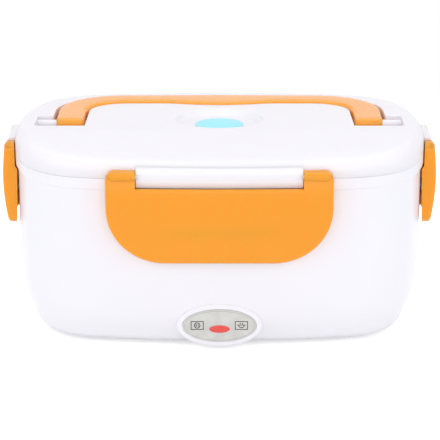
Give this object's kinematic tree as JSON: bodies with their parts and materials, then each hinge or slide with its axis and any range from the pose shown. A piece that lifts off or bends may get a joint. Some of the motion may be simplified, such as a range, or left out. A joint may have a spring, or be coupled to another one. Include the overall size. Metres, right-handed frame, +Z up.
{
  "type": "electric lunch box",
  "caption": "Heated lunch box: a rounded base with a clip-on lid, hinged side latches, a folding handle, a steam vent plug and a lift-out divided food tray.",
  "frame": {"origin": "on the table plane under the rubber feet, at the middle of the box", "axes": "+X to the right along the long side, +Y to the rear where the inlet is, +Z up"},
  "size_m": [0.2364, 0.168, 0.108],
  "materials": {
    "white_shell": "gloss moulded white",
    "white_base": "gloss moulded white",
    "white_cover": "fine matt white",
    "orange_latch": "gloss orange",
    "orange_handle": "gloss orange",
    "aqua_silicone": "soft translucent aqua silicone",
    "red_silicone": "matt red silicone",
    "black_rubber": "matt black rubber",
    "steel_screw": "bright zinc plate",
    "plate_metal": "satin pressed aluminium",
    "ceramic": "unglazed ceramic in a thin case",
    "clamp_steel": "plain sheet steel",
    "fuse_body": "cream ceramic tube",
    "inlet_plastic": "matt white nylon",
    "pin_metal": "plated brass",
    "lamp_clear": "tinted lamp body",
    "lens_red": "gloss red lens",
    "badge_silver": "fine satin silver",
    "wire_red": "silicone insulation",
    "tray_white": "smooth food-grade white",
    "dish_white": "smooth food-grade white",
    "dish_lid_orange": "smooth orange"
  },
  "bodies": {
    "base": {"base_shell": "white_base", "bottom_cover": "white_cover", "rubber_feet": "black_rubber", "cover_screws": "steel_screw", "heating_plate": "plate_metal", "plate_gasket": "red_silicone", "ceramic_heater": "ceramic", "heater_clamp": "clamp_steel", "clamp_screws": "steel_screw", "thermal_fuse": "fuse_body", "power_inlet": "inlet_plastic", "inlet_pins": "pin_metal", "indicator_lamp": "lamp_clear", "lamp_lens": "lens_red", "badge_plate": "badge_silver", "wires": "wire_red"},
    "lid": {"lid_shell": "white_shell", "lid_liner": "white_cover", "lid_gasket": "red_silicone"},
    "vent_plug_body": {"vent_plug": "aqua_silicone"},
    "handle_body": {"handle": "orange_handle"},
    "front_latch_body": {"front_latch": "orange_latch"},
    "rear_latch_body": {"rear_latch": "orange_latch"},
    "left_latch_body": {"left_latch": "orange_latch"},
    "right_latch_body": {"right_latch": "orange_latch"},
    "tray": {"food_tray": "tray_white"},
    "dish": {"side_dish": "dish_white"},
    "dish_cover": {"side_dish_lid": "dish_lid_orange"}
  },
  "joints": [
    {"name": "lid_lift", "type": "slide", "parent": "base", "child": "lid", "axis": [0, 0, 1], "range_m": [0, 0.2]},
    {"name": "front_latch_hinge", "type": "hinge", "parent": "lid", "child": "front_latch_body", "pos_m": [0, -0.079, 0.0965], "axis": [-1, 0, 0], "range_deg": [-1.8, 135]},
    {"name": "rear_latch_hinge", "type": "hinge", "parent": "lid", "child": "rear_latch_body", "pos_m": [0, 0.079, 0.0965], "axis": [1, 0, 0], "range_deg": [-1.8, 135]},
    {"name": "right_latch_hinge", "type": "hinge", "parent": "lid", "child": "right_latch_body", "pos_m": [0.114, 0, 0.0965], "axis": [0, -1, 0], "range_deg": [-1.8, 135]},
    {"name": "left_latch_hinge", "type": "hinge", "parent": "lid", "child": "left_latch_body", "pos_m": [-0.114, 0, 0.0965], "axis": [0, 1, 0], "range_deg": [-1.8, 135]},
    {"name": "handle_hinge", "type": "hinge", "parent": "lid", "child": "handle_body", "pos_m": [0, 0.005, 0.1032], "axis": [1, 0, 0], "range_deg": [0, 95]},
    {"name": "vent_plug_pull", "type": "slide", "parent": "lid", "child": "vent_plug_body", "axis": [0, 0, 1], "range_m": [0, 0.02]},
    {"name": "tray_lift", "type": "slide", "parent": "base", "child": "tray", "axis": [0, 0, 1], "range_m": [0, 0.08]},
    {"name": "dish_lift", "type": "slide", "parent": "tray", "child": "dish", "axis": [0, 0, 1], "range_m": [0, 0.066]},
    {"name": "dish_cover_lift", "type": "slide", "parent": "dish", "child": "dish_cover", "axis": [0, 0, 1], "range_m": [0, 0.02]}
  ],
  "couplings": [
    {"joint": "tray_lift", "follows": "lid_lift", "ratio": 0.4},
    {"joint": "dish_lift", "follows": "lid_lift", "ratio": 0.33},
    {"joint": "dish_cover_lift", "follows": "lid_lift", "ratio": 0.1}
  ]
}
